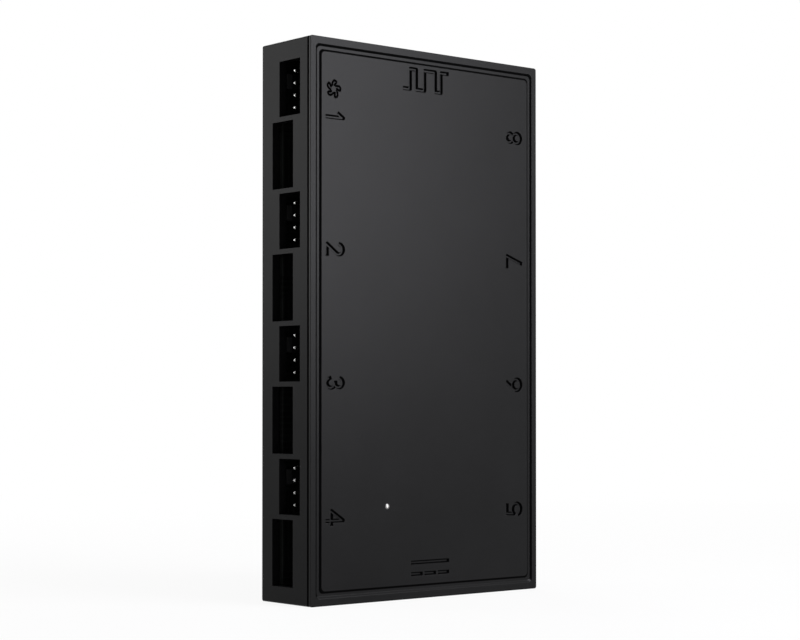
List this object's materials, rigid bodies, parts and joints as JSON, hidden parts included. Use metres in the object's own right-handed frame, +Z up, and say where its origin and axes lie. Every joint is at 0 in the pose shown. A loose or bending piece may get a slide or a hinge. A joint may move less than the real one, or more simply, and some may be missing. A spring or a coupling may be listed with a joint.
{
  "type": "fan and light hub",
  "caption": "Flat black plastic hub with alternating fan and light sockets down both long sides, control sockets in the top end and a power inlet in the bottom end.",
  "frame": {"origin": "middle of the bottom end, where the power inlet is", "axes": "+Z up along the case, +Y out of the back, so that the numbered front face looks towards -Y"},
  "size_m": [0.0628, 0.0164, 0.115],
  "materials": {
    "case_plastic": "fine matte black moulding",
    "cover_plastic": "fine matte black moulding",
    "header_plastic": "black moulding",
    "inlet_plastic": "black moulding",
    "pin_metal": "bright tin plate",
    "contact_metal": "gold flash",
    "board_mask": "black solder mask",
    "chip_plastic": "black moulding",
    "fuse_body": "green coat",
    "resistor_body": "black coat",
    "capacitor_can": "bright drawn can",
    "capacitor_base": "black moulding",
    "led_body": "white moulding",
    "pipe_clear": "clear, lit white",
    "screw_steel": "black finish"
  },
  "bodies": {
    "root": {"capacitor_bases": "capacitor_base", "capacitor_cans": "capacitor_can", "case_body": "case_plastic", "case_screws": "screw_steel", "circuit_board": "board_mask", "control_header": "header_plastic", "control_pins": "pin_metal", "controller_chip": "chip_plastic", "fan_header_1": "header_plastic", "fan_header_2": "header_plastic", "fan_header_3": "header_plastic", "fan_header_4": "header_plastic", "fan_header_5": "header_plastic", "fan_header_6": "header_plastic", "fan_header_7": "header_plastic", "fan_header_8": "header_plastic", "fan_pins_1": "pin_metal", "fan_pins_2": "pin_metal", "fan_pins_3": "pin_metal", "fan_pins_4": "pin_metal", "fan_pins_5": "pin_metal", "fan_pins_6": "pin_metal", "fan_pins_7": "pin_metal", "fan_pins_8": "pin_metal", "front_cover": "cover_plastic", "input_fuse": "fuse_body", "led_resistor": "resistor_body", "light_header_1": "header_plastic", "light_header_2": "header_plastic", "light_header_3": "header_plastic", "light_header_4": "header_plastic", "light_header_5": "header_plastic", "light_header_6": "header_plastic", "light_header_7": "header_plastic", "light_header_8": "header_plastic", "light_pins_1": "pin_metal", "light_pins_2": "pin_metal", "light_pins_3": "pin_metal", "light_pins_4": "pin_metal", "light_pins_5": "pin_metal", "light_pins_6": "pin_metal", "light_pins_7": "pin_metal", "light_pins_8": "pin_metal", "light_pipe": "pipe_clear", "power_contacts": "contact_metal", "power_inlet": "inlet_plastic", "signal_buffer": "chip_plastic", "status_led": "led_body", "sync_header": "header_plastic", "sync_pins": "pin_metal"}
  },
  "joints": []
}
